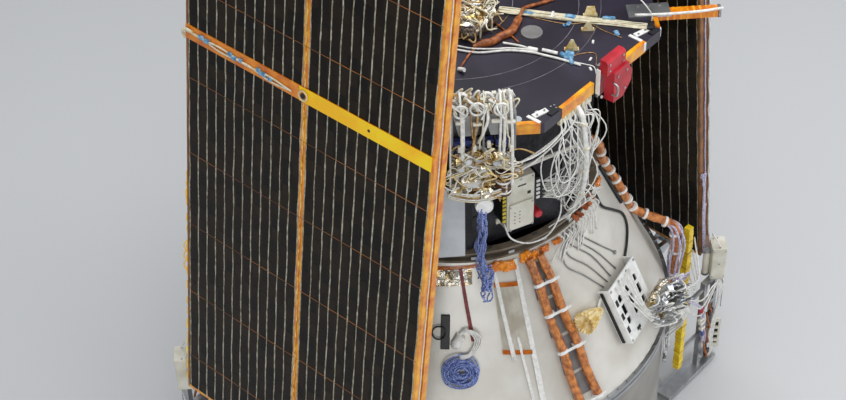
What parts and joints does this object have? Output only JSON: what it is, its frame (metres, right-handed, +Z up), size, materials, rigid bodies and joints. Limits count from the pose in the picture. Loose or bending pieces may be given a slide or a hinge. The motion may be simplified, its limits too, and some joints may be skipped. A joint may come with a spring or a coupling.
{
  "type": "satellite with folded solar wings",
  "caption": "Small spacecraft on its launch adapter: eight-sided deck on a conical stage, with two hinged solar wings of two panels each folded against it.",
  "frame": {"origin": "middle of the adapter foot, on the floor", "axes": "+Z up along the body's centre line, +X towards one solar wing, +Y along the hinge lines"},
  "size_m": [1.7702, 1.5998, 2.6223],
  "materials": {
    "machined_aluminium": "machined",
    "grey_skirt": "satin primer",
    "cone_skin": "satin",
    "brown_ring": "satin",
    "dark_wall": "black blanket",
    "deck_skin": "dark composite face",
    "cream_tube": "satin",
    "white_paint": "satin",
    "black_plastic": "matt",
    "amber_film": "amber polyimide film",
    "red_guard": "satin",
    "grey_plate": "satin",
    "cream_plastic": "moulded",
    "silver_foil": "crumpled foil",
    "white_cable": "jacket",
    "cream_cable": "jacket",
    "pale_panel": "satin",
    "cream_box": "satin",
    "yellow_strip": "moulded",
    "gold_sheet": "bright",
    "yellow_wrap": "tape wrapped",
    "panel_face": "carbon face",
    "cell_glass": "cover glass",
    "brown_coil": "tape wound",
    "blue_connector": "moulded shell"
  },
  "bodies": {
    "bus": {"adapter_foot": "machined_aluminium", "adapter_skirt": "grey_skirt", "avionics_boxes": "cream_box", "box_fittings": "yellow_strip", "box_leads": "white_cable", "closeout_panel": "pale_panel", "cone_flange": "machined_aluminium", "cone_harness": "amber_film", "cone_shell": "cone_skin", "cone_straps": "white_paint", "corner_straps": "white_paint", "corner_targets": "black_plastic", "deck_disc": "grey_plate", "deck_harness": "amber_film", "deck_plate": "deck_skin", "deck_ribbon": "cream_cable", "deck_struts": "cream_tube", "deck_tabs": "gold_sheet", "deck_unit": "silver_foil", "electronics_box": "cream_box", "guard_plate": "machined_aluminium", "hinge_drives": "cream_box", "hinge_towers": "machined_aluminium", "hold_down_brackets": "machined_aluminium", "inner_wall": "dark_wall", "outrigger_roots": "machined_aluminium", "outriggers": "amber_film", "pleated_shield": "gold_sheet", "red_guard": "red_guard", "root_brackets": "machined_aluminium", "slotted_bracket": "pale_panel", "strut_fittings": "machined_aluminium", "tower_cables": "white_cable", "tower_coil": "brown_coil", "tower_collar": "machined_aluminium", "tower_connectors": "blue_connector", "tower_disc": "white_paint", "tower_foil": "silver_foil", "tower_frame": "grey_plate", "tower_sockets": "cream_plastic", "upper_ring": "brown_ring", "valve_cluster": "silver_foil", "white_lead": "white_cable", "wrapped_conduits": "yellow_wrap"},
    "wing_right_inner": {"wing_right_inner_panel": "panel_face", "wing_right_inner_cells": "cell_glass", "wing_right_root_lugs": "machined_aluminium", "wing_right_panel_ears": "machined_aluminium"},
    "wing_right_outer": {"wing_right_outer_panel": "panel_face", "wing_right_outer_cells": "cell_glass", "wing_right_hold_down_bar": "amber_film", "wing_right_panel_lugs": "machined_aluminium"},
    "wing_left_inner": {"wing_left_inner_panel": "panel_face", "wing_left_inner_cells": "cell_glass", "wing_left_root_lugs": "machined_aluminium", "wing_left_panel_ears": "machined_aluminium"},
    "wing_left_outer": {"wing_left_outer_panel": "panel_face", "wing_left_outer_cells": "cell_glass", "wing_left_hold_down_bar": "amber_film", "wing_left_panel_lugs": "machined_aluminium"}
  },
  "joints": [
    {"name": "right_root_hinge", "type": "hinge", "parent": "bus", "child": "wing_right_inner", "pos_m": [0.83935, 0, 0.49731], "axis": [0, 1, 0], "range_deg": [0, 97.5]},
    {"name": "right_panel_hinge", "type": "hinge", "parent": "wing_right_inner", "child": "wing_right_outer", "pos_m": [0.57792, 0, 2.61329], "axis": [0, -1, 0], "range_deg": [0, 180]},
    {"name": "left_root_hinge", "type": "hinge", "parent": "bus", "child": "wing_left_inner", "pos_m": [-0.83935, 0, 0.49731], "axis": [0, -1, 0], "range_deg": [0, 97.5]},
    {"name": "left_panel_hinge", "type": "hinge", "parent": "wing_left_inner", "child": "wing_left_outer", "pos_m": [-0.57792, 0, 2.61329], "axis": [0, 1, 0], "range_deg": [0, 180]}
  ]
}
